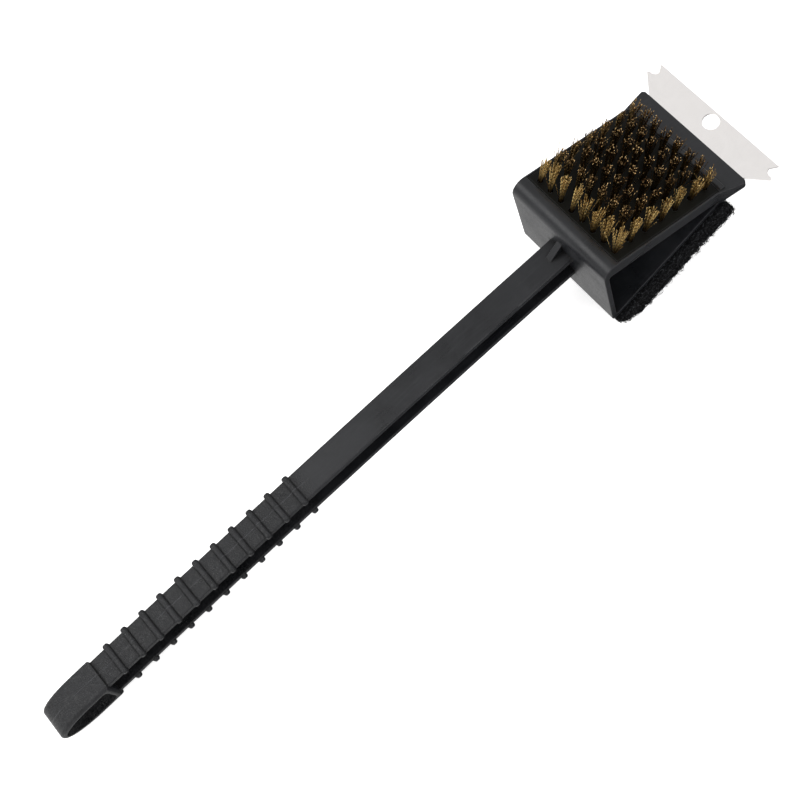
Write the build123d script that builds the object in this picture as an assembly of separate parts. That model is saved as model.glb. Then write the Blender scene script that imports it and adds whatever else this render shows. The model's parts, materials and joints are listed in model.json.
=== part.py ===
from build123d import *
import os
from math import asin, atan2, cos, degrees, hypot, radians, sin

# Grill cleaning brush, in millimetres.
# It is drawn with the handle level: +X runs from the hanging loop to the scraper blade,
# +Y to the left and +Z up through the bristles. X = 0 is where the handle meets the head,
# and Z = 0 is the handle's mid-height there. The last section lays the brush down on a table.

# ---- driving dimensions: head ----
HEAD_WIDTH = 67.5
BACK_FOOT = (-1.1, -26.3)      # lower back edge of the wedge (X, Z)
BACK_LEAN = 2.5                # degrees, the back wall leans forward as it rises
PLATE_START = (9.9, 27.8)      # where the roll ends and the bristle face begins (X, Z)
PLATE_SLOPE = 18.0             # degrees, the bristle face falls towards the blade
PLATE_RUN = 84.0               # along the bristle face, from its start to the jaw's front edge
SOLE_END = (76.4, -3.9)        # front end of the sloping sole (X, Z)
SOLE_RADIUS = 2.2
CAVITY_RADII = (1.0, 1.8, 0.8) # lower back, upper back and front corners of the open triangle
ROLL_RADIUS = 6.6
ROOF_THICK = 7.6
BACK_THICK = 2.8
SOLE_THICK = 2.4
WEB_THICK = 2.6
HEAD_RIB_X = 40.0
HEAD_RIB_SPAN = 46.0
HEAD_RIB_THICK = 2.2
JAW_START = 74.0               # X where the jaw starts to flare
JAW_WIDTH = 75.2
JAW_UNDER = -1.6               # Z of the jaw's lower front edge
JAW_CORNER = 1.9
SLIT_START = 82.0              # X from which the jaw is split right out to its sides

# ---- driving dimensions: bristle block and bead ----
BLOCK_START = 1.0              # along the bristle face
BLOCK_RUN = 68.2
BLOCK_WIDTH = 65.8
BLOCK_THICK = 4.6
BLOCK_GAP = 0.15
BLOCK_EDGE = 0.45              # chamfer
BEAD_GAP = 0.5
BEAD_RUN = 3.4
BEAD_RISE = 1.0
BEAD_ROUND = 0.9

# ---- driving dimensions: tufts ----
TUFT_LINES = 8                 # across the head
TUFTS_PER_LINE = 7             # along the head
LINE_PITCH = 7.7
TUFT_PITCH = 10.0
FIRST_TUFT = 4.7               # along the bristle face
TUFT_HEIGHTS = (17.4, 14.6)    # above the bristle face, of the rearmost and the foremost row
HOLE_RADIUS = 1.45
HOLE_DEPTH = 3.8
LEG_RADIUS = 0.45
LEG_TIP_RADIUS = 0.9
LEG_OFFSET = 0.72              # from the hole's axis to the middle of each leg
LEG_SPLAY = 2.2                # degrees
FOLD_HEIGHT = 0.8
FOLD_WIDTH = 0.72
FOLD_LIFT = 0.05               # the fold's clearance above the hole's floor
LEG_LIFT = 0.15
ANCHOR = (0.36, 2.4, 1.6)

# ---- driving dimensions: scraper blade ----
BLADE_THICK = 1.0
BLADE_TANG_WIDTH = 66.2
TANG_GAP = 0.1
BLADE_ROOT = 76.0              # X of the edge inside the jaw
BLADE_EDGE = 106.4             # X of the scraping edge
BLADE_TIP = 42.1               # half width at the scraping edge
BLADE_SHOULDER = 89.6          # X where the sides begin to flare
BLADE_HORN = (98.6, 44.5)      # outer point of the fishtail (X, Y)
BITE_START = (99.8, 43.3)      # the rounded notch between the horn and the edge
BITE_MIDDLE = (100.2, 40.6)
BITE_END = (102.3, 39.4)
BLADE_HOLE_X = 100.9
BLADE_HOLE_RADIUS = 4.5

# ---- driving dimensions: scouring pad ----
PAD_THICK = 16.4
PAD_WIDTH = 72.8
PAD_HEEL_RADIUS = 16.0
PAD_TOE_RADIUS = 3.0
PAD_START = 1.6                # along the sole
PAD_SHORT = 0.1                # how far the pad stops before the sole's front end
FILM_THICK = 0.4
FILM_INSET = 2.5

# ---- driving dimensions: handle ----
HANDLE_WIDTH = 15.9
HANDLE_HEIGHT = 17.4
FLANGE_THICK = 3.0
HANDLE_WEB = 2.8
BOW_RADIUS = 4120.0            # the handle bows gently, so that its loop end droops
BOW_CREST = -66.0              # X of the highest point of the bow
BOW_RISE = 0.5
RIB_COUNT = 11
RIB_PITCH = 12.06
FIRST_RIB = -177.1
RIB_RUN = 3.5
RIB_PROUD = 1.4
RIB_INSET = 0.5                # the ribs' ends stop short of the side channel
RIB_ROUND = 1.25
FLANGE_ROUND = 0.7
LOOP_START = -309.0
LOOP_LENGTH = 36.0
LOOP_NOSE = 22.0               # length of the loop's half-elliptical end
LOOP_PROUD = 1.4
LOOP_WALL = 2.9
LOOP_WEB = 3.0                 # solid stretch between the handle and the loop's opening
LOOP_CORNER = 3.0
LOOP_ROUND = 1.9
FIN_RUN = 8.0
FIN_RISE = 8.0
FIN_TOE = 0.9
FIN_THICK = 3.4

SINK = 0.5                     # how deep joined bodies run into each other
ROOT_SINK = 2.0                # how deep the handle runs into the back wall
CLEAR = 120.0                  # longer than any cut has to be

HALF_HEAD = HEAD_WIDTH / 2
HALF_JAW = JAW_WIDTH / 2
HALF_HANDLE = HANDLE_HEIGHT / 2


# ---- helper frames and shapes ----
def on_bow(run, height):
    """A point of the handle: run is measured along it, height from its middle line."""
    turn = (run - BOW_CREST) / BOW_RADIUS
    radius = BOW_RADIUS + height
    return (BOW_CREST + radius * sin(turn), BOW_RISE - BOW_RADIUS + radius * cos(turn))


def bow_frame(run, height):
    """The location of that point, with its X along the handle."""
    x, z = on_bow(run, height)
    return Location((x, 0, z), (0, degrees((run - BOW_CREST) / BOW_RADIUS), 0))


def plate_frame(run=0.0, across=0.0, depth=0.0):
    """A location on the bristle face, X along it and Z out of it."""
    slope = radians(PLATE_SLOPE)
    x = PLATE_START[0] + run * cos(slope) - depth * sin(slope)
    z = PLATE_START[1] - run * sin(slope) - depth * cos(slope)
    return Location((x, across, z), (0, PLATE_SLOPE, 0))


def sole_slope():
    """The angle at which the sole rises towards the blade."""
    return atan2(SOLE_END[1] - BACK_FOOT[1], SOLE_END[0] - BACK_FOOT[0])


def sole_frame(run=0.0, drop=0.0):
    """A location on the sole, X along it and Z up into the head."""
    slope = sole_slope()
    x = BACK_FOOT[0] + run * cos(slope) + drop * sin(slope)
    z = BACK_FOOT[1] + run * sin(slope) - drop * cos(slope)
    return Location((x, 0, z), (0, -degrees(slope), 0))


def slab(face, width):
    """A side outline thickened to a width centred on the middle plane."""
    return extrude(face, width / 2, both=True)


def side_face(lines):
    """The face inside lines drawn in the side view."""
    return Plane.XZ * make_face(lines)


def side_outline(points):
    """A closed outline in the side view, from (X, Z) points."""
    return side_face(Polyline(*points, close=True))


def meet(first, second):
    """Where two lines cross, each given as a point and a slope angle in radians."""
    (x1, z1), a1 = first
    (x2, z2), a2 = second
    along = ((x2 - x1) * sin(a2) - (z2 - z1) * cos(a2)) / (cos(a1) * sin(a2) - sin(a1) * cos(a2))
    return (x1 + along * cos(a1), z1 + along * sin(a1))


def corner_near(shape, x, z):
    """The edge across the head that is nearest to (X, Z) in the side view."""
    across = shape.edges().filter_by(Axis.Y)
    return across.sort_by(lambda edge: hypot(edge.center().X - x, edge.center().Z - z))[0]


def bow_band(start, end, low, high, width):
    """A bar that follows the bow of the handle between two heights."""
    middle = (start + end) / 2
    top = ThreePointArc(on_bow(start, high), on_bow(middle, high), on_bow(end, high))
    bottom = ThreePointArc(on_bow(start, low), on_bow(middle, low), on_bow(end, low))
    ends = [Line(on_bow(start, low), on_bow(start, high)), Line(on_bow(end, low), on_bow(end, high))]
    return slab(side_face([top, bottom] + ends), width)


# ---- handle and head frame ----
def head_shell():
    back = (BACK_FOOT, radians(90 - BACK_LEAN))
    face = (PLATE_START, radians(-PLATE_SLOPE))
    back_top = meet(back, face)
    jaw = plate_frame(PLATE_RUN).position
    outline = side_outline([BACK_FOOT, back_top, (jaw.X, jaw.Z), (jaw.X, JAW_UNDER), SOLE_END])
    wedge = slab(outline, JAW_WIDTH)
    wedge = fillet(corner_near(wedge, *back_top), ROLL_RADIUS)
    wedge = fillet(corner_near(wedge, *BACK_FOOT), SOLE_RADIUS)

    plan = [(-CLEAR, HALF_HEAD), (JAW_START, HALF_HEAD), (jaw.X, HALF_JAW)]
    plan += [(x, -y) for x, y in reversed(plan)]
    plan_face = make_face(Polyline(*plan, close=True))
    plan_face = fillet(plan_face.vertices().sort_by(Axis.X)[-2:], JAW_CORNER)
    return wedge & extrude(plan_face, CLEAR, both=True)


def head_cavity():
    """The open triangle inside the head, seen from the side."""
    slope = sole_slope()
    floor_point = (BACK_FOOT[0] - SOLE_THICK * sin(slope), BACK_FOOT[1] + SOLE_THICK * cos(slope))
    wall_point = (BACK_FOOT[0] + BACK_THICK, BACK_FOOT[1])
    roof = plate_frame(0, 0, ROOF_THICK).position
    floor = (floor_point, slope)
    wall = (wall_point, radians(90 - BACK_LEAN))
    ceiling = ((roof.X, roof.Z), radians(-PLATE_SLOPE))
    corners = [meet(floor, wall), meet(wall, ceiling), meet(ceiling, floor)]
    cavity = slab(side_outline(corners), CLEAR)
    for corner, radius in zip(corners, CAVITY_RADII):
        cavity = fillet(corner_near(cavity, *corner), radius)
    return cavity


def jaw_slot():
    """A pocket for the blade's tang, and an open slit at the jaw's front and sides."""
    from_back = (Align.MIN, Align.CENTER, Align.CENTER)
    pocket = Box(CLEAR, BLADE_TANG_WIDTH + 2 * TANG_GAP, BLADE_THICK, align=from_back)
    slit = Box(CLEAR, CLEAR, BLADE_THICK, align=from_back)
    return Pos(BLADE_ROOT, 0, 0) * pocket + Pos(SLIT_START, 0, 0) * slit


def bead():
    """The rounded bar across the face, between the block and the jaw."""
    start = BLOCK_START + BLOCK_RUN + BEAD_GAP
    bar = Box(BEAD_RUN, BLOCK_WIDTH, 2 * BEAD_RISE)
    bar = fillet(bar.edges().filter_by(Axis.Y), BEAD_ROUND)
    return plate_frame(start + BEAD_RUN / 2) * bar


def loop_face(start, inset):
    """The loop's side outline or its opening's, drawn back from where the loop starts."""
    half = HALF_HANDLE + LOOP_PROUD - inset
    middle = LOOP_NOSE - LOOP_LENGTH
    return side_face([
        Line((start, -half), (start, half)),
        Line((start, half), (middle, half)),
        EllipticalCenterArc((middle, 0), LOOP_NOSE - inset, half, 90, arc_size=180),
        Line((middle, -half), (start, -half)),
    ])


def hanging_loop():
    band = slab(loop_face(0, 0), HANDLE_WIDTH + 2 * LOOP_PROUD)
    side = HANDLE_WIDTH / 2 + LOOP_PROUD
    rim = band.edges().filter_by(lambda edge: abs(abs(edge.center().Y) - side) < 0.01)
    band = fillet(rim, LOOP_ROUND)
    opening = slab(loop_face(-LOOP_WEB, LOOP_WALL), CLEAR)
    corners = opening.edges().filter_by(Axis.Y).sort_by(Axis.X)[-2:]
    return bow_frame(LOOP_START, 0) * (band - fillet(corners, LOOP_CORNER))


def flange(low, high):
    """One of the two wide bars of the handle's I section, rounded along its outer edges."""
    bar = bow_band(LOOP_START - SINK, ROOT_SINK, low, high, HANDLE_WIDTH)
    long_edges = bar.edges().filter_by(lambda edge: edge.length > CLEAR)
    by_height = long_edges.sort_by(lambda edge: edge.position_at(0.5).Z)
    rim = by_height[-2:] if high > 0 else by_height[:2]
    return fillet(rim, FLANGE_ROUND)


def grip_rib():
    """One rib of one flange: a rounded bar that stands proud on top and at both ends."""
    bar = Box(RIB_RUN, HANDLE_WIDTH + 2 * RIB_PROUD, FLANGE_THICK + RIB_PROUD - RIB_INSET)
    return fillet(bar.edges(), RIB_ROUND)


def handle():
    inner = HALF_HANDLE - FLANGE_THICK
    shape = flange(inner, HALF_HANDLE) + flange(-HALF_HANDLE, -inner)
    shape += bow_band(LOOP_START - SINK, ROOT_SINK, -inner - SINK, inner + SINK, HANDLE_WEB)
    rib = grip_rib()
    height = HALF_HANDLE + RIB_PROUD - (FLANGE_THICK + RIB_PROUD - RIB_INSET) / 2
    ribs = []
    for index in range(RIB_COUNT):
        run = FIRST_RIB - index * RIB_PITCH
        ribs += [bow_frame(run, height) * rib, bow_frame(run, -height) * rib]
    shape += ribs
    return shape + hanging_loop()


def root_fin():
    """The small fin on the middle plane that stiffens the handle's root."""
    top = HALF_HANDLE - SINK
    points = [(ROOT_SINK, top), (-FIN_RUN, top), (-FIN_RUN, top + FIN_TOE), (ROOT_SINK, top + FIN_RISE)]
    return slab(side_outline(points), FIN_THICK)


def handle_and_head_frame():
    cavity = head_cavity()
    head = head_shell() - cavity
    box = cavity.bounding_box()
    middle = Pos(box.center().X, 0, box.center().Z)
    web = (middle * Box(box.size.X, WEB_THICK, box.size.Z)) & cavity
    rib = (Pos(HEAD_RIB_X, 0, 0) * Box(HEAD_RIB_THICK, HEAD_RIB_SPAN, CLEAR)) & cavity
    head += [web, rib]
    on_floor = (Align.CENTER, Align.CENTER, Align.MIN)
    pocket = Box(BLOCK_RUN, BLOCK_WIDTH, CLEAR, align=on_floor)
    pocket = plate_frame(BLOCK_START + BLOCK_RUN / 2, 0, BLOCK_THICK) * pocket
    head = head - pocket - jaw_slot()
    return head + bead() + handle() + root_fin()


# ---- bristle block, tufts and anchors ----
def tuft_places(line):
    across = (line - (TUFT_LINES - 1) / 2) * LINE_PITCH
    return [(FIRST_TUFT + index * TUFT_PITCH, across) for index in range(TUFTS_PER_LINE)]


def bristle_block():
    size = (BLOCK_RUN - 2 * BLOCK_GAP, BLOCK_WIDTH - 2 * BLOCK_GAP, BLOCK_THICK)
    block = plate_frame(BLOCK_START + BLOCK_RUN / 2, 0, BLOCK_THICK / 2) * Box(*size)
    top = block.faces().sort_by(lambda face: face.normal_at().Z)[-1]
    block = chamfer(top.edges(), BLOCK_EDGE)
    drill = Cylinder(HOLE_RADIUS, CLEAR, align=(Align.CENTER, Align.CENTER, Align.MIN))
    holes = []
    for line in range(TUFT_LINES):
        holes += [plate_frame(run, across, HOLE_DEPTH) * drill for run, across in tuft_places(line)]
    return block - holes


def tuft(height):
    """A bundle of wire folded double: two legs and the fold under the anchor."""
    length = HOLE_DEPTH + height - LEG_LIFT
    leg = Cone(LEG_RADIUS, LEG_TIP_RADIUS, length, align=(Align.CENTER, Align.CENTER, Align.MIN))
    fold = Pos(0, 0, FOLD_HEIGHT / 2) * Box(2 * LEG_OFFSET, FOLD_WIDTH, FOLD_HEIGHT)
    legs = [Location((side * LEG_OFFSET, 0, LEG_LIFT), (0, side * LEG_SPLAY, 0)) * leg for side in (-1, 1)]
    return Pos(0, 0, FOLD_LIFT) * fold + legs


def anchor():
    return Pos(0, 0, FOLD_HEIGHT + 2 * FOLD_LIFT + ANCHOR[2] / 2) * Box(*ANCHOR)


def in_holes(pieces, line):
    """Pieces for the holes of one line, each made upright on its hole's floor."""
    places = [plate_frame(run, across, HOLE_DEPTH) for run, across in tuft_places(line)]
    return Compound([place * piece for place, piece in zip(places, pieces)])


def tuft_row_heights():
    """The tufts are trimmed evenly lower towards the blade."""
    rear, front = TUFT_HEIGHTS
    return [rear + (front - rear) * index / (TUFTS_PER_LINE - 1) for index in range(TUFTS_PER_LINE)]


# ---- scraper blade ----
def blade_side(side):
    """The outline of one side, from the tang to the scraping edge: flare, horn and notch."""
    tang = BLADE_TANG_WIDTH / 2
    run = [(BLADE_ROOT, tang), (BLADE_SHOULDER, tang), BLADE_HORN, BITE_START]
    flare = Polyline(*[(x, side * y) for x, y in run])
    bite = ThreePointArc(*[(x, side * y) for x, y in (BITE_START, BITE_MIDDLE, BITE_END)])
    tip = Line((BITE_END[0], side * BITE_END[1]), (BLADE_EDGE, side * BLADE_TIP))
    return [flare, bite, tip]


def scraper_blade():
    ends = [
        Line((BLADE_ROOT, -BLADE_TANG_WIDTH / 2), (BLADE_ROOT, BLADE_TANG_WIDTH / 2)),
        Line((BLADE_EDGE, -BLADE_TIP), (BLADE_EDGE, BLADE_TIP)),
    ]
    sheet = extrude(make_face(blade_side(1) + blade_side(-1) + ends), BLADE_THICK / 2, both=True)
    hole = Pos(BLADE_HOLE_X, 0, 0) * Cylinder(BLADE_HOLE_RADIUS, CLEAR)
    return sheet - hole


# ---- scouring pad ----
def sole_length():
    return hypot(SOLE_END[0] - BACK_FOOT[0], SOLE_END[1] - BACK_FOOT[1])


def scouring_pad():
    run = sole_length() - PAD_START - PAD_SHORT
    block = Box(run, PAD_WIDTH, PAD_THICK, align=(Align.MIN, Align.CENTER, Align.MAX))
    lower = block.faces().sort_by(Axis.Z)[0].edges().filter_by(Axis.Y).sort_by(Axis.X)
    block = fillet(lower[0], PAD_HEEL_RADIUS)
    toe = block.faces().sort_by(Axis.Z)[0].edges().filter_by(Axis.Y).sort_by(Axis.X)[-1]
    block = fillet(toe, PAD_TOE_RADIUS)
    return sole_frame(PAD_START, FILM_THICK) * block


def pad_adhesive():
    size = (sole_length() - 2 * FILM_INSET, HEAD_WIDTH - FILM_INSET, FILM_THICK)
    return sole_frame(FILM_INSET) * Box(*size, align=(Align.MIN, Align.CENTER, Align.MAX))


# ---- the brush laid down on a table ----
def rest_pitch():
    """The angle of the line under the pad's heel and the loop's rounded end, in degrees."""
    heel = sole_frame(PAD_START + PAD_HEEL_RADIUS, FILM_THICK + PAD_THICK - PAD_HEEL_RADIUS).position
    half = HALF_HANDLE + LOOP_PROUD
    steepest = -90.0
    for turn in range(180, 271):
        x = LOOP_NOSE - LOOP_LENGTH + LOOP_NOSE * cos(radians(turn))
        point = (bow_frame(LOOP_START, 0) * Pos(x, 0, half * sin(radians(turn)))).position
        rise, gap = heel.Z - point.Z, heel.X - point.X
        steepest = max(steepest, degrees(atan2(rise, gap) - asin(PAD_HEEL_RADIUS / hypot(rise, gap))))
    return steepest


tufts = [tuft(height) for height in tuft_row_heights()]
anchors = [anchor()] * TUFTS_PER_LINE
nodes = {
    "handle_and_head_frame": handle_and_head_frame(),
    "bristle_block": bristle_block(),
    "scraper_blade": scraper_blade(),
    "scouring_pad": scouring_pad(),
    "pad_adhesive": pad_adhesive(),
}
for line in range(TUFT_LINES):
    nodes[f"tuft_line_{line + 1}"] = in_holes(tufts, line)
    nodes[f"tuft_anchors_{line + 1}"] = in_holes(anchors, line)

level = Location((0, 0, 0), (0, rest_pitch(), 0))
laid = {name: level * shape for name, shape in nodes.items()}
box = Compound(list(laid.values())).bounding_box()
to_origin = Pos(-box.center().X, 0, -box.min.Z)

os.makedirs("parts", exist_ok=True)
for name, shape in laid.items():
    export_step(to_origin * shape, f"parts/{name}.step")
print("pitch", rest_pitch(), "shift", -box.center().X, -box.min.Z, "size", box.size)
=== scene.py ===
import json
from math import cos, pi, radians, sin

import bmesh
import bpy
import numpy as np
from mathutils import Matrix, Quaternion, Vector, noise


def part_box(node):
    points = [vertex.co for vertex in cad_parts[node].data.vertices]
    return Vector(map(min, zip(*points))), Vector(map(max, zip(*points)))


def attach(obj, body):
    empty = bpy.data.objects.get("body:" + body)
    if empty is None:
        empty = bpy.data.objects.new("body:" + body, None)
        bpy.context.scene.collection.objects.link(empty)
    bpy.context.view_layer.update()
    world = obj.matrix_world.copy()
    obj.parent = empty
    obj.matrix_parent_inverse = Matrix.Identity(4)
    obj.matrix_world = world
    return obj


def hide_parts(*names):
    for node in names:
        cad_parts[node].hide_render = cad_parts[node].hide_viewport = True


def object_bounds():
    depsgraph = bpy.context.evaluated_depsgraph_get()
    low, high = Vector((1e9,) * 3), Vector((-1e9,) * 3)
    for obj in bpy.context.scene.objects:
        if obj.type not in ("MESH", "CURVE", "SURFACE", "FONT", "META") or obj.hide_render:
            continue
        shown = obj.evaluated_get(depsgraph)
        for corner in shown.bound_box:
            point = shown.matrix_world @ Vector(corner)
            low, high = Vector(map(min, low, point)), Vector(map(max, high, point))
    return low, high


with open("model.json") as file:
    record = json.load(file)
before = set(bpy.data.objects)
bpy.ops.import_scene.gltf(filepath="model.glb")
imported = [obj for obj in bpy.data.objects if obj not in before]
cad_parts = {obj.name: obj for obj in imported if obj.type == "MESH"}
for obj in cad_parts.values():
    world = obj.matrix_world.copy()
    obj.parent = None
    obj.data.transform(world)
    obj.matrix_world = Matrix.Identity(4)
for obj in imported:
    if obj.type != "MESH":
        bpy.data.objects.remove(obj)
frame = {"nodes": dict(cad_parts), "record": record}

# The looks of a grill cleaning brush that lies pad down on a table: +X runs from the hanging
# loop to the scraper blade, +Z is up. Lengths are in metres, and MM turns millimetres into them.
CAD_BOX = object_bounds()
MM = 0.001

# ---- camera ----
CAMERA_PLACE = (-0.06807, -0.32505, 0.80735)
CAMERA_AIM = (0.00962, -0.00137, 0.03728)
CAMERA_ROLL = -28.38            # degrees, about the line of sight
CAMERA_LENS = 76.5              # for the 36 mm sensor

# ---- wire tufts ----
TUFT_SEED = 700                 # plus the number of the line
WIRES_PER_LEG = 17
WIRE_RADIUS = 0.15 * MM
WIRE_POINTS = 34
WIRE_SIDES = 4
LEG_SPACING = 0.48 * MM         # from the tuft's axis to the middle of each leg
LEG_SPREAD = (0.42 * MM, 0.85 * MM)  # half size of a leg in its hole, along and across the head
FAN = 3.0                       # how much wider a tuft is at its tips than in its hole
CRIMP_PITCH = 2.6 * MM
CRIMP_HEIGHT = 0.15 * MM
TUFT_LEAN = (0.07, -0.05)       # per unit of height, towards the blade and to the left
OUTER_LEAN = -0.08              # the same for the leftmost line, which is pressed inwards
OUTER_SHORT = 0.96              # and its length, as a share of its neighbours'
STRAY_SHARE = 0.08              # of the wires, which lean out of their tuft
INNER_PAINTED_LIGHT = 0.3              # how much painted light the wires inside the field get, next to its edge rows
FAR_PAINTED_LIGHT = 0.55               # the same for the row by the blade and the leftmost line
FAN_RANGE = (0.85, 1.15)        # how much tufts differ in how far they fan out
LEAN_SCATTER = (0.45 * MM, 0.4 * MM)  # and in where their tops lie, along and across the head
TIP_SCATTER = 0.4 * MM          # how far each wire's tip wanders
STRAY_REACH = (0.6, 1.8)        # how much further out a stray wire's tip lies
STRAY_DROP = 1.6 * MM           # how much lower it then ends
LENGTH_SCATTER = 0.06           # how unevenly the wires are cut, as a share of their length
BEND_RANGE = (1.1, 1.6)         # powers of the height: the legs part slowly, then faster

# ---- studio ----
SKY_LIGHT = 0.95
LOW_LIGHT = (1.3, 0.12)         # below the horizon, on the handle's side and on the others

# ---- grip ----
GRIP_END = -0.048               # X where the handle's leathery grip begins

# ---- scouring pad ----
PAD_CELL = 0.9 * MM
PAD_RAGGED = 0.75 * MM          # how far the pad's outline wanders
PAD_WANDER_SPAN = 9 * MM        # the size of those bays and bulges
PAD_ROUGH = 0.85 * MM           # how high the lumps on the pad's skin are
PAD_LUMP_SPAN = 2.3 * MM
PAD_TUCK = 0.55 * MM            # how far the skin is drawn in, to leave room for both
PAD_GLUED = (0.3 * MM, 1.5 * MM)  # below its top: skin that stays smooth, then skin that roughens
FIBRE_SEED = 41
PAD_FIBRES = 12000
FIBRE_PIECES = 3
FIBRE_RADIUS = 0.13 * MM
FIBRE_LENGTH = (3.0 * MM, 8.0 * MM)
FIBRE_RISE = (0.2 * MM, 1.0 * MM)
FIBRE_SUNK = 0.35 * MM          # how deep its ends lie in the pad
FIBRE_LOOSE = 0.3               # share of fibres with one end free
FIBRE_POINTS = 7
FIBRE_SIDES = 3
FIBRE_TOP = (1.6 * MM, 0.4 * MM)  # below the pad's top: where fibres start, and how high they reach


# ---- material tools ----
class Surface:
    """A material in the making. node() adds a shader node and returns its first output."""

    def __init__(self, name, **sockets):
        self.material = bpy.data.materials.new(name)
        self.material.use_nodes = True
        self.tree = self.material.node_tree
        self.shader = self.tree.nodes["Principled BSDF"]
        self.set(**sockets)

    def plug(self, node, key, value):
        socket = node.inputs[key]
        if isinstance(value, bpy.types.NodeSocket):
            self.tree.links.new(value, socket)
        else:
            socket.default_value = value

    def set(self, **sockets):
        for key, value in sockets.items():
            self.plug(self.shader, key.replace("_", " "), value)

    def node(self, kind, inputs=None, output=0, **settings):
        node = self.tree.nodes.new(kind)
        for key, value in settings.items():
            setattr(node, key, value)
        for key, value in (inputs or {}).items():
            self.plug(node, key, value)
        return node.outputs[output]

    def place(self, stretch=(1, 1, 1)):
        """Coordinates on the object in metres, squeezed by a factor along each axis."""
        raw = self.node("ShaderNodeTexCoord", output="Object")
        return self.node("ShaderNodeMapping", {"Vector": raw, "Scale": stretch})

    def noise(self, scale, detail=4.0, roughness=0.55, stretch=(1, 1, 1), distortion=0.0):
        inputs = {"Vector": self.place(stretch), "Scale": scale, "Detail": detail}
        inputs.update({"Roughness": roughness, "Distortion": distortion})
        return self.node("ShaderNodeTexNoise", inputs)

    def spread(self, value, low, high, to_low=0.0, to_high=1.0):
        """value from low..high carried over to to_low..to_high, and held there."""
        inputs = {"Value": value, "From Min": low, "From Max": high}
        inputs.update({"To Min": to_low, "To Max": to_high})
        return self.node("ShaderNodeMapRange", inputs)

    def mix(self, factor, first, second):
        node = self.tree.nodes.new("ShaderNodeMix")
        node.data_type = "RGBA"
        self.plug(node, 0, factor)
        self.plug(node, 6, first)
        self.plug(node, 7, second)
        return node.outputs[2]

    def math(self, operation, first, second):
        return self.node("ShaderNodeMath", {0: first, 1: second}, operation=operation)

    def attribute(self, name):
        return self.node("ShaderNodeAttribute", output="Fac", attribute_name=name)

    def bump(self, height, strength, distance, normal=None):
        inputs = {"Height": height, "Strength": strength, "Distance": distance}
        if normal:
            inputs["Normal"] = normal
        return self.node("ShaderNodeBump", inputs)

    def hollow(self, reach):
        """How deep in a crease or a hollow of its own piece the surface lies, from 0 to 1."""
        open_sky = self.node(
            "ShaderNodeAmbientOcclusion", {"Distance": reach}, output="AO", samples=6, only_local=True)
        return self.spread(open_sky, 0.95, 0.5)

    def rounded(self, radius):
        """The surface's normal with its edges softened, and how near an edge is, from 0 to 1."""
        soft = self.node("ShaderNodeBevel", {"Radius": radius}, samples=4)
        true = self.node("ShaderNodeNewGeometry", output="Normal")
        facing = self.node(
            "ShaderNodeVectorMath", {0: soft, 1: true}, output="Value", operation="DOT_PRODUCT")
        return soft, self.spread(facing, 0.995, 0.86)


def moulded_plastic(name, deep, pale, gloss, grain, shine):
    """Satin moulded plastic: cloudy colour, fine grain, faint flow lines, paler worn edges, and
    painted shade that darkens it deep in its creases and hollows."""
    s = Surface(name, IOR=1.46, Specular_IOR_Level=shine)
    clouds = s.noise(38, 6, 0.62, distortion=0.6)
    flow = s.noise(900, 3, 0.5, stretch=(0.035, 1, 1))
    speck = s.noise(2300, 2, 0.5)
    normal, edge = s.rounded(0.7 * MM)
    colour = s.mix(s.spread(clouds, 0.35, 0.7), deep, pale)
    colour = s.mix(s.spread(flow, 0.56, 0.72, 0, 0.35), colour, [1.5 * c for c in pale[:3]] + [1])
    worn = s.math("MULTIPLY", edge, s.spread(speck, 0.35, 0.6, 0.15, 0.6))
    colour = s.mix(worn, colour, (0.060, 0.060, 0.063, 1))
    # Painted shade: the plastic is painted near black deep in its creases and hollows, and is also
    # made rougher there.
    painted_crease_shade = s.hollow(3 * MM)
    colour = s.mix(painted_crease_shade, colour, (0.0004, 0.0004, 0.0005, 1))
    rough = s.spread(clouds, 0.3, 0.72, gloss[0], gloss[1])
    rough = s.math("ADD", rough, s.math("MULTIPLY", painted_crease_shade, 0.3))
    rough = s.math("ADD", rough, s.spread(flow, 0.4, 0.7, -0.03, 0.05))
    bumped = s.bump(speck, grain, 0.05 * MM, normal)
    bumped = s.bump(flow, 0.12, 0.04 * MM, bumped)
    s.set(Base_Color=colour, Roughness=rough, Normal=bumped)
    return s, colour, bumped


def grained_grip(s, colour, normal):
    """Adds a leathery grain on the grip, and the mould's parting line along its middle."""
    split = s.node("ShaderNodeSeparateXYZ", {0: s.place()}).node.outputs
    grip = s.spread(split[0], GRIP_END, GRIP_END - 8 * MM)
    cells = s.node(
        "ShaderNodeTexVoronoi", {"Vector": s.place(), "Scale": 1100.0}, feature="DISTANCE_TO_EDGE")
    leather = s.math("MULTIPLY", s.spread(cells, 0.02, 0.3), grip)
    seam = s.spread(s.math("ABSOLUTE", split[1], 0.0), 0.12 * MM, 0.4 * MM, 1, 0)
    gaps = s.spread(s.noise(60, 2, 0.5), 0.36, 0.5)
    seam = s.math("MULTIPLY", s.math("MULTIPLY", seam, grip), gaps)
    normal = s.bump(leather, 0.7, 0.14 * MM, normal)
    normal = s.bump(seam, 0.8, 0.15 * MM, normal)
    # Painted shade: the grain's grooves on the grip are painted near black.
    painted_groove_shade = s.math("MULTIPLY", s.spread(cells, 0.12, 0.0), grip)
    colour = s.mix(painted_groove_shade, colour, (0.0010, 0.0011, 0.0013, 1))
    colour = s.mix(s.math("MULTIPLY", seam, 0.7), colour, (0.045, 0.046, 0.05, 1))
    s.set(Base_Color=colour, Normal=normal)


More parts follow.
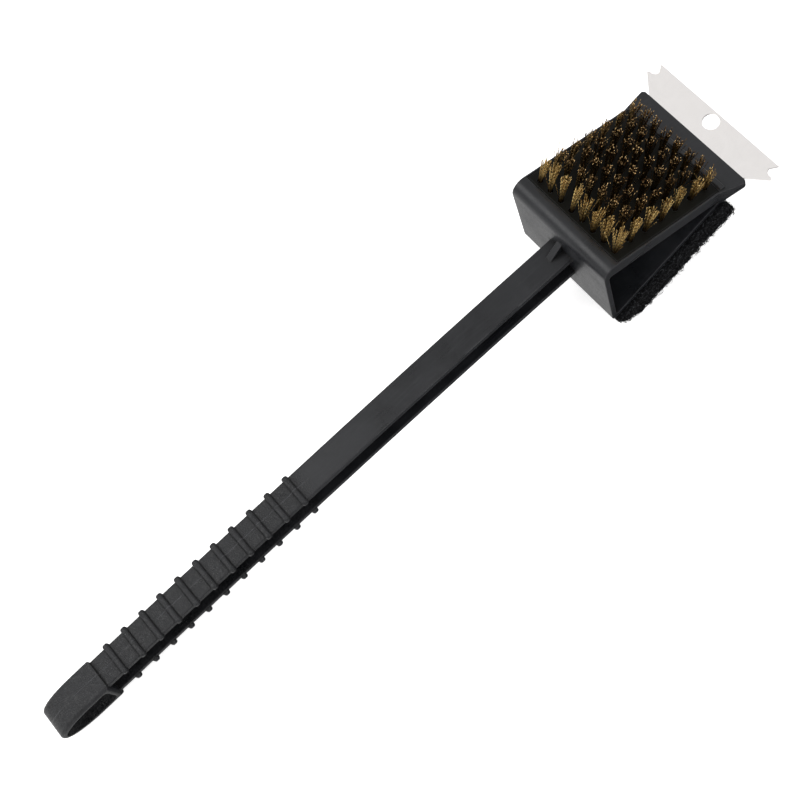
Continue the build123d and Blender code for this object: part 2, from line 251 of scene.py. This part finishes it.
def wire_brass():
    """Brass wire, each strand a little different, with painted light and shade: the wires inside the
    field of tufts are painted darker, and only their cut ends stay bright, while the rows at the
    field's edges are painted lit all over."""
    s = Surface("brass_wire", Metallic=1.0, IOR=1.5)
    tint, rise, painted_light = s.attribute("tint"), s.attribute("rise"), s.attribute("painted_light")
    strand = s.mix(tint, (0.34, 0.19, 0.045, 1), (0.98, 0.74, 0.31, 1))
    stain = s.noise(420, 4, 0.6)
    strand = s.mix(s.spread(stain, 0.5, 0.75, 0, 0.5), strand, (0.22, 0.105, 0.028, 1))
    # Painted shade: a darker copy of the brass, for the wires inside the field that get little painted
    # light.
    painted_shade_strand = s.mix(s.spread(tint, 0.6, 1.0), (0.095, 0.056, 0.027, 1), (0.44, 0.27, 0.11, 1))
    strand = s.mix(painted_light, painted_shade_strand, strand)
    # Painted shade: every wire is painted darker towards its root.
    strand = s.mix(s.spread(rise, 0.1, 0.6), (0.05, 0.024, 0.009, 1), strand)
    # Bright cut ends, mixed in more strongly where the wire is painted in shade.
    cut_end = s.mix(s.spread(tint, 0.35, 0.85), (0.10, 0.050, 0.020, 1), (0.82, 0.57, 0.28, 1))
    at_end = s.math("MULTIPLY", s.spread(rise, 0.94, 0.98), s.spread(painted_light, 0.5, 1.0, 0.9, 0.35))
    colour = s.mix(at_end, strand, cut_end)
    rough = s.math("ADD", s.spread(rise, 0.1, 0.9, 0.36, 0.16), s.spread(stain, 0.4, 0.8, 0, 0.12))
    drawn = s.noise(5200, 2, 0.5)
    s.set(Base_Color=colour, Roughness=rough, Normal=s.bump(drawn, 0.25, 0.03 * MM))
    return s.material


def sheet_steel():
    """Bright rolled stainless sheet with a faint grain, hairline scratches and thumb marks."""
    s = Surface("scraper_steel", Metallic=1.0, IOR=2.5)
    grain = s.noise(1500, 3, 0.6, stretch=(1, 0.02, 1))
    marks = s.noise(70, 5, 0.6, distortion=1.2)
    hairs = s.noise(2600, 1, 0.5, stretch=(0.02, 1, 1))
    normal, edge = s.rounded(0.15 * MM)
    colour = s.mix(s.spread(marks, 0.4, 0.75), (0.835, 0.812, 0.800, 1), (0.805, 0.782, 0.770, 1))
    colour = s.mix(s.spread(hairs, 0.68, 0.76, 0, 0.18), colour, (0.66, 0.64, 0.63, 1))
    rough = s.spread(marks, 0.35, 0.75, 0.13, 0.24)
    rough = s.math("ADD", rough, s.spread(grain, 0.3, 0.7, -0.03, 0.05))
    rough = s.math("ADD", rough, s.math("MULTIPLY", edge, 0.12))
    s.set(Base_Color=colour, Roughness=rough)
    s.set(Normal=s.bump(hairs, 0.06, 0.02 * MM, s.bump(grain, 0.08, 0.02 * MM, normal)))
    return s.material


def plain_steel():
    """The drawn strip of the anchors that hold the tufts down in their holes."""
    s = Surface("anchor_steel", Metallic=1.0, IOR=2.5)
    drawn = s.noise(3000, 3, 0.6, stretch=(1, 0.05, 1))
    s.set(Base_Color=s.mix(drawn, (0.42, 0.42, 0.41, 1), (0.6, 0.6, 0.59, 1)))
    s.set(Roughness=s.spread(drawn, 0.3, 0.7, 0.3, 0.5), Normal=s.bump(drawn, 0.2, 0.02 * MM))
    return s.material


def felted_web():
    """The body of the scouring pad, between its fibres: dull black with resin in it, and pale specks
    that are painted glints.
    """
    s = Surface("scouring_web", Specular_IOR_Level=0.05)
    web = s.noise(900, 5, 0.75, distortion=1.5)
    painted_glint_specks = s.noise(1500, 2, 0.5)
    colour = s.mix(s.spread(web, 0.48, 0.6), (0.0012, 0.0012, 0.0014, 1), (0.0105, 0.0110, 0.0120, 1))
    # Painted glints: pale specks in the colour, which are also made glossier.
    colour = s.mix(s.spread(painted_glint_specks, 0.6, 0.66, 0, 0.8), colour, (0.075, 0.078, 0.085, 1))
    s.set(Base_Color=colour, Roughness=s.spread(painted_glint_specks, 0.4, 0.7, 0.85, 0.35))
    s.set(Normal=s.bump(web, 1.0, 0.9 * MM))
    return s.material


def nylon_fibre():
    """Black nylon fibre, glossier where resin coats it, with pale specks there that are painted
    glints.
    """
    s = Surface("scouring_fibre", Specular_IOR_Level=0.06)
    tint = s.attribute("tint")
    resin_and_glint = s.noise(1100, 3, 0.6)
    colour = s.mix(tint, (0.0060, 0.0062, 0.0068, 1), (0.0180, 0.0185, 0.0200, 1))
    colour = s.mix(s.spread(resin_and_glint, 0.5, 0.42), colour, (0.0010, 0.0010, 0.0012, 1))
    # Painted glints: pale specks where the resin noise is highest.
    s.set(Base_Color=s.mix(s.spread(resin_and_glint, 0.58, 0.64, 0, 0.8), colour, (0.085, 0.088, 0.095, 1)))
    s.set(Roughness=s.spread(resin_and_glint, 0.35, 0.6, 0.8, 0.22), Normal=s.bump(resin_and_glint, 0.4, 0.08 * MM))
    return s.material


def cured_glue():
    """The thin dull layer of glue between the pad and the head."""
    s = Surface("adhesive")
    lumps = s.noise(500, 4, 0.6)
    s.set(Base_Color=s.mix(lumps, (0.05, 0.045, 0.036, 1), (0.11, 0.1, 0.085, 1)))
    s.set(Roughness=s.spread(lumps, 0.3, 0.7, 0.45, 0.7), Normal=s.bump(lumps, 0.4, 0.2 * MM))
    return s.material


def table_top():
    s = Surface("table_top", Roughness=0.62, Emission_Strength=0.55)
    cloud = s.noise(3, 3, 0.5)
    s.set(Base_Color=s.mix(cloud, (0.93, 0.93, 0.93, 1), (0.95, 0.95, 0.95, 1)))
    s.set(Emission_Color=(1, 1, 1, 1))
    return s.material


# ---- mesh tools ----
def tubes(name, lines, radii, sides, facts):
    """One closed tube along each line. lines is wires x points x 3, radii wires x points, and
    facts holds a number for each wire or for each of its points, kept as a mesh attribute."""
    count, points, _ = lines.shape
    tangent = np.gradient(lines, axis=1)
    tangent /= np.linalg.norm(tangent, axis=2, keepdims=True)
    overall = lines[:, -1] - lines[:, 0]
    helper = np.eye(3)[np.argmin(np.abs(overall), axis=1)][:, None, :]
    side = np.cross(tangent, helper)
    side /= np.linalg.norm(side, axis=2, keepdims=True)
    third = np.cross(tangent, side)
    angle = np.arange(sides) * 2 * pi / sides
    ring = side[:, :, None, :] * np.cos(angle)[:, None] + third[:, :, None, :] * np.sin(angle)[:, None]
    corners = (lines[:, :, None, :] + ring * radii[:, :, None, None]).reshape(-1, 3)

    first = (np.arange(count) * points * sides)[:, None, None]
    row = (np.arange(points - 1) * sides)[None, :, None]
    here = np.arange(sides)[None, None, :]
    after = (here + 1) % sides
    low, high = first + row, first + row + sides
    walls = [low + here, low + after, high + after, high + here]
    quads = np.stack(np.broadcast_arrays(*walls), axis=-1).reshape(-1, 4)
    starts = (first[:, 0] + np.arange(sides)[::-1]).tolist()
    ends = (first[:, 0] + (points - 1) * sides + np.arange(sides)).tolist()

    mesh = bpy.data.meshes.new(name)
    mesh.from_pydata(corners.tolist(), [], quads.tolist() + starts + ends)
    mesh.polygons.foreach_set("use_smooth", np.arange(len(mesh.polygons)) < len(quads))
    for fact, values in facts.items():
        values = np.broadcast_to(values.reshape(len(values), -1), (count, points))
        attribute = mesh.attributes.new(fact, "FLOAT", "POINT")
        attribute.data.foreach_set("value", np.repeat(values.ravel(), sides).astype(np.float32))
    mesh.update()
    piece = bpy.data.objects.new(name, mesh)
    bpy.context.scene.collection.objects.link(piece)
    return piece


def corners_of(node):
    """All corner points of a CAD node."""
    mesh = frame["nodes"][node].data
    points = np.zeros(len(mesh.vertices) * 3, np.float32)
    mesh.vertices.foreach_get("co", points)
    return points.reshape(-1, 3).astype(float)


def solids_of(node):
    """The corner points of each separate solid of a node, in order along the head."""
    shape = bmesh.new()
    shape.from_mesh(frame["nodes"][node].data)
    bmesh.ops.remove_doubles(shape, verts=shape.verts, dist=0.001 * MM)
    left, groups = set(shape.verts), []
    while left:
        group, edge = set(), [left.pop()]
        while edge:
            vertex = edge.pop()
            group.add(vertex)
            for link in vertex.link_edges:
                other = link.other_vert(vertex)
                if other in left:
                    left.discard(other)
                    edge.append(other)
        groups.append(np.array([v.co for v in group]))
    shape.free()
    return sorted(groups, key=lambda points: points[:, 0].mean())


def dress(node, material):
    """Gives a CAD node its material."""
    piece = frame["nodes"][node]
    for slot in piece.material_slots:
        slot.material = material


def join_up(piece, material, slot, *nodes):
    """Dresses a new piece, and fixes it to the brush in place of the CAD nodes it stands for."""
    piece.data.materials.append(material)
    if nodes:
        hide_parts(*nodes)
    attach(piece, "root")


# ---- wire tufts ----
def bristle_axes():
    """Axes on the bristle face: a line of anchors lies parallel to it."""
    anchors = [points.mean(0) for points in solids_of("tuft_anchors_1")]
    along = anchors[-1] - anchors[0]
    along /= np.linalg.norm(along)
    across = np.array((0.0, 1.0, 0.0))
    return along, across, np.cross(along, across)


def tuft_wires(rng, axes, root, length, lean):
    """Centrelines, heights and tints of one tuft's wires: two legs that fan out as they rise."""
    along, across, out = axes
    count = 2 * WIRES_PER_LEG
    leg = np.repeat((-1.0, 1.0), WIRES_PER_LEG)
    angle = rng.uniform(0, 2 * pi, count)
    reach = np.sqrt(rng.uniform(0, 1, count))
    low_x = leg * LEG_SPACING + LEG_SPREAD[0] * reach * np.cos(angle)
    low_y = LEG_SPREAD[1] * reach * np.sin(angle)

    fan = FAN * rng.uniform(*FAN_RANGE)
    stray = 1 + (rng.uniform(0, 1, count) < STRAY_SHARE) * rng.uniform(*STRAY_REACH, count)
    lean_x = lean[0] * length + rng.normal(0, LEAN_SCATTER[0])
    lean_y = lean[1] * length + rng.normal(0, LEAN_SCATTER[1])
    top_x = low_x * fan * stray + rng.normal(0, TIP_SCATTER, count) + lean_x
    top_y = low_y * fan * stray + rng.normal(0, TIP_SCATTER, count) + lean_y
    tall = length * (1 - np.abs(rng.normal(0, LENGTH_SCATTER, count))) - (stray - 1) * STRAY_DROP

    t = np.linspace(0, 1, WIRE_POINTS)[None, :]
    bend = t ** rng.uniform(*BEND_RANGE)
    x = low_x[:, None] + (top_x - low_x)[:, None] * bend
    y = low_y[:, None] + (top_y - low_y)[:, None] * bend
    z = tall[:, None] * t

    # Each leg's wires were crimped side by side, so that their waves nearly line up.
    phase = leg * rng.uniform(0.5, 1.5) + rng.normal(0, 0.4, count)
    heading = rng.uniform(-0.5, 0.5) + rng.normal(0, 0.35, count)
    wave = CRIMP_HEIGHT * np.sin(2 * pi * z / CRIMP_PITCH + phase[:, None]) * np.minimum(1, 4 * t)
    x = x + wave * np.cos(heading)[:, None]
    y = y + wave * np.sin(heading)[:, None]
    lines = root + x[..., None] * along + y[..., None] * across + z[..., None] * out
    return lines, np.repeat(t, count, axis=0), rng.uniform(0, 1, count)


def wire_tufts(material):
    """One piece for each line of tufts, with its wires in the CAD tufts' holes."""
    axes = bristle_axes()
    out = axes[2]
    count = sum(node.startswith("tuft_line") for node in frame["nodes"])
    for number in range(1, count + 1):
        node = f"tuft_line_{number}"
        rng = np.random.default_rng(TUFT_SEED + number)
        lines, rises, tints, painted_lights = [], [], [], []
        outer = number == count
        lean = (TUFT_LEAN[0], OUTER_LEAN if outer else TUFT_LEAN[1])
        roots = solids_of(f"tuft_anchors_{number}")
        for row, (anchor, legs) in enumerate(zip(roots, solids_of(node))):
            middle = anchor.mean(0)
            low = ((anchor - middle) @ out).min()
            high = ((legs - middle) @ out).max()
            root = middle + out * low
            made = tuft_wires(rng, axes, root, (high - low) * (OUTER_SHORT if outer else 1), lean)
            lines.append(made[0])
            rises.append(made[1])
            tints.append(made[2])
            # Painted light: the edge rows are painted lit, and the rows inside them are painted in
            # shade.
            near = row == 0 or number == 1
            far = row == len(roots) - 1 or outer
            painted_lights.append(np.full(len(made[2]), 1.0 if near else FAR_PAINTED_LIGHT if far else INNER_PAINTED_LIGHT))
        lines = np.concatenate(lines)
        taper = np.full(lines.shape[:2], WIRE_RADIUS)
        taper[:, -1] *= 0.9
        facts = {"rise": np.concatenate(rises), "tint": np.concatenate(tints)}
        facts["painted_light"] = np.concatenate(painted_lights)
        piece = tubes(f"wire_tufts_{number}", lines, taper, WIRE_SIDES, facts)
        join_up(piece, material, "brass_wire", node)


# ---- scouring pad ----
def pad_out():
    """The direction out of the pad's glued top, from the record's mount for its underside."""
    mounts = frame["record"]["mounts"]
    out = -np.array(next(m["axis"] for m in mounts if m["name"] == "pad_face"), float)
    return out / np.linalg.norm(out)


def kept_in(points, margin):
    """Points held above the table, and in front of the CAD pad's heel."""
    points = points.copy()
    points[..., 0] = np.maximum(points[..., 0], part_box("scouring_pad")[0].x + margin)
    points[..., 2] = np.maximum(points[..., 2], CAD_BOX[0].z + margin)
    return points


def ragged(points, normals, out, top):
    """Pushes the pad's skin in and out: a wandering outline, then lumps the size of its fibres."""
    moved = []
    for point, normal in zip(points, normals):
        depth = top - point @ out
        free = min(1.0, max(0.0, (depth - PAD_GLUED[0]) / PAD_GLUED[1]))
        at = Vector(point)
        wander = noise.fractal(at / PAD_WANDER_SPAN, 1.0, 2.0, 3) * PAD_RAGGED
        lumps = noise.fractal(at / PAD_LUMP_SPAN + Vector((7, 3, 1)), 0.8, 2.2, 3) * PAD_ROUGH
        moved.append(point + normal * free * (wander + lumps - PAD_TUCK))
    return kept_in(np.array(moved), 0.05 * MM)


def pad_core(material):
    """The pad's body: the CAD block cut into small even cells, then roughened."""
    source = frame["nodes"]["scouring_pad"]
    core = bpy.data.objects.new("scouring_pad_core", source.data.copy())
    core.data.materials.clear()
    bpy.context.scene.collection.objects.link(core)
    cells = core.modifiers.new("cells", "REMESH")
    cells.mode = "VOXEL"
    cells.voxel_size = PAD_CELL
    bpy.context.view_layer.update()
    graph = bpy.context.evaluated_depsgraph_get()
    mesh = bpy.data.meshes.new_from_object(core.evaluated_get(graph))
    core.modifiers.clear()
    core.data = mesh
    mesh.name = core.name

    points = np.array([v.co for v in mesh.vertices])
    normals = np.array([v.normal for v in mesh.vertices])
    out = pad_out()
    top = (corners_of("scouring_pad") @ out).max()
    points = ragged(points, normals, out, top)
    mesh.vertices.foreach_set("co", points.ravel().astype(np.float32))
    mesh.polygons.foreach_set("use_smooth", np.ones(len(mesh.polygons), bool))
    mesh.update()
    join_up(core, material, "scouring_fibre", "scouring_pad")
    return core, out, top


def pad_fibres(core, out, top, material):
    """Curled fibres that leave the pad's skin and mostly dive back into it."""
    rng = np.random.default_rng(FIBRE_SEED)
    mesh = core.data
    points = np.array([v.co for v in mesh.vertices])
    normals = np.array([v.normal for v in mesh.vertices])
    open_skin = np.flatnonzero(top - points @ out > FIBRE_TOP[0])
    chosen = rng.choice(open_skin, PAD_FIBRES)
    base, normal = points[chosen], normals[chosen]
    spin = rng.normal(0, 1, (PAD_FIBRES, 3))
    heading = np.cross(normal, spin)
    heading /= np.linalg.norm(heading, axis=1, keepdims=True)
    sideways = np.cross(normal, heading)

    length = rng.uniform(*FIBRE_LENGTH, PAD_FIBRES)[:, None]
    rise = rng.uniform(*FIBRE_RISE, PAD_FIBRES)[:, None]
    loose = (rng.uniform(0, 1, PAD_FIBRES) < FIBRE_LOOSE)[:, None]
    t = np.linspace(0, 1, FIBRE_POINTS)[None, :]
    arch = 4 * t * (1 - t) * rise - FIBRE_SUNK
    end_up = t ** 1.4 * rise * 1.15 - FIBRE_SUNK * (1 - t)
    height = np.where(loose, end_up, arch)
    run = (t - 0.5) * length * np.where(loose, 0.45, 0.8)
    turns = rng.uniform(0.8, 2.2, PAD_FIBRES)[:, None]
    curl = np.sin(pi * t * turns) * length * rng.uniform(-0.3, 0.3, PAD_FIBRES)[:, None]
    lines = base[:, None, :] + run[..., None] * heading[:, None, :]
    lines = lines + curl[..., None] * sideways[:, None, :] + height[..., None] * normal[:, None, :]
    over = np.maximum(0, lines @ out - (top - FIBRE_TOP[1]))
    lines = lines - over[..., None] * out
    radii = np.full(lines.shape[:2], FIBRE_RADIUS) * rng.uniform(0.7, 1.2, PAD_FIBRES)[:, None]
    lines = kept_in(lines, 2 * FIBRE_RADIUS)
    tint = rng.uniform(0, 1, PAD_FIBRES) ** 2
    for number in range(FIBRE_PIECES):
        part = slice(number, None, FIBRE_PIECES)
        name = f"scouring_fibres_{number + 1}"
        piece = tubes(name, lines[part], radii[part], FIBRE_SIDES, {"tint": tint[part]})
        join_up(piece, material, "scouring_fibre")


# ---- stage ----
def table(material):
    """A large plain table top, with a rolled edge so that it is a real slab."""
    shape = bmesh.new()
    bmesh.ops.create_cube(shape, size=1.0)
    bmesh.ops.scale(shape, vec=(40.0, 40.0, 0.05), verts=shape.verts)
    bmesh.ops.translate(shape, vec=(0, 0, -0.025 + CAD_BOX[0].z), verts=shape.verts)
    bmesh.ops.bevel(shape, geom=shape.edges[:], offset=0.01, segments=4, affect="EDGES")
    mesh = bpy.data.meshes.new("table")
    shape.to_mesh(mesh)
    shape.free()
    top = bpy.data.objects.new("table", mesh)
    mesh.materials.append(material)
    bpy.context.scene.collection.objects.link(top)
    top.visible_glossy = False


def soft_light(name, place, aim, size, power):
    data = bpy.data.lights.new(name, "AREA")
    data.shape = "DISK"
    data.size = size
    data.energy = power
    lamp = bpy.data.objects.new(name, data)
    lamp.location = place
    lamp.rotation_mode = "QUATERNION"
    lamp.rotation_quaternion = (Vector(aim) - Vector(place)).to_track_quat("-Z", "Y")
    bpy.context.scene.collection.objects.link(lamp)


def studio():
    """Two soft lamps under an even white sky."""
    world = bpy.data.worlds.new("studio")
    bpy.context.scene.world = world
    world.use_nodes = True
    tree = world.node_tree
    sky = tree.nodes["Background"]
    way = tree.nodes.new("ShaderNodeTexCoord").outputs["Generated"]
    split = tree.nodes.new("ShaderNodeSeparateXYZ")
    tree.links.new(way, split.inputs[0])
    # Gloss sees this in place of the table: light on the side of the handle, dim on the others.
    below = tree.nodes.new("ShaderNodeMapRange")
    above = tree.nodes.new("ShaderNodeMapRange")
    tree.links.new(split.outputs["X"], below.inputs["Value"])
    tree.links.new(split.outputs["Z"], above.inputs["Value"])
    for node, ends in ((below, (-0.45, 0.05, *LOW_LIGHT)), (above, (-0.1, -0.02, 0, 1))):
        for key, value in zip(("From Min", "From Max", "To Min", "To Max"), ends):
            node.inputs[key].default_value = value
    blend = tree.nodes.new("ShaderNodeMix")
    tree.links.new(above.outputs[0], blend.inputs[0])
    tree.links.new(below.outputs[0], blend.inputs[2])
    blend.inputs[3].default_value = SKY_LIGHT
    tree.links.new(blend.outputs[0], sky.inputs["Strength"])
    sky.inputs["Color"].default_value = (1.0, 0.995, 0.99, 1)
    soft_light("key", place=(-0.9, 0.5, 1.5), aim=(0.05, 0, 0), size=1.3, power=13)
    soft_light("side", place=(0.55, -0.95, 0.55), aim=(0.14, 0, 0), size=0.9, power=4.4)
    bpy.context.scene.view_settings.view_transform = "Standard"


def camera():
    data = bpy.data.cameras.new("camera")
    data.lens = CAMERA_LENS
    data.sensor_width = 36
    data.clip_start = 0.01
    eye = bpy.data.objects.new("camera", data)
    eye.location = CAMERA_PLACE
    eye.rotation_mode = "QUATERNION"
    sight = Vector(CAMERA_AIM) - Vector(CAMERA_PLACE)
    roll = Quaternion((0, 0, 1), radians(CAMERA_ROLL))
    eye.rotation_quaternion = sight.to_track_quat("-Z", "Y") @ roll
    bpy.context.scene.collection.objects.link(eye)
    bpy.context.scene.camera = eye


camera()
studio()
table(table_top())

frame_plastic, *skin = moulded_plastic(
    "black_plastic", (0.0066, 0.0072, 0.0086, 1), (0.0138, 0.0146, 0.0170, 1), (0.26, 0.44), 0.5, 0.36)
grained_grip(frame_plastic, *skin)
block_plastic, *_ = moulded_plastic(
    "block_plastic", (0.0030, 0.0031, 0.0024, 1), (0.0060, 0.0060, 0.0046, 1), (0.5, 0.64), 0.3, 0.1)
dress("handle_and_head_frame", frame_plastic.material)
dress("bristle_block", block_plastic.material)
dress("scraper_blade", sheet_steel())
dress("pad_adhesive", cured_glue())
anchor_metal = plain_steel()
for node in frame["nodes"]:
    if node.startswith("tuft_anchors"):
        dress(node, anchor_metal)

wire_tufts(wire_brass())
core, out, top = pad_core(felted_web())
pad_fibres(core, out, top, nylon_fibre())
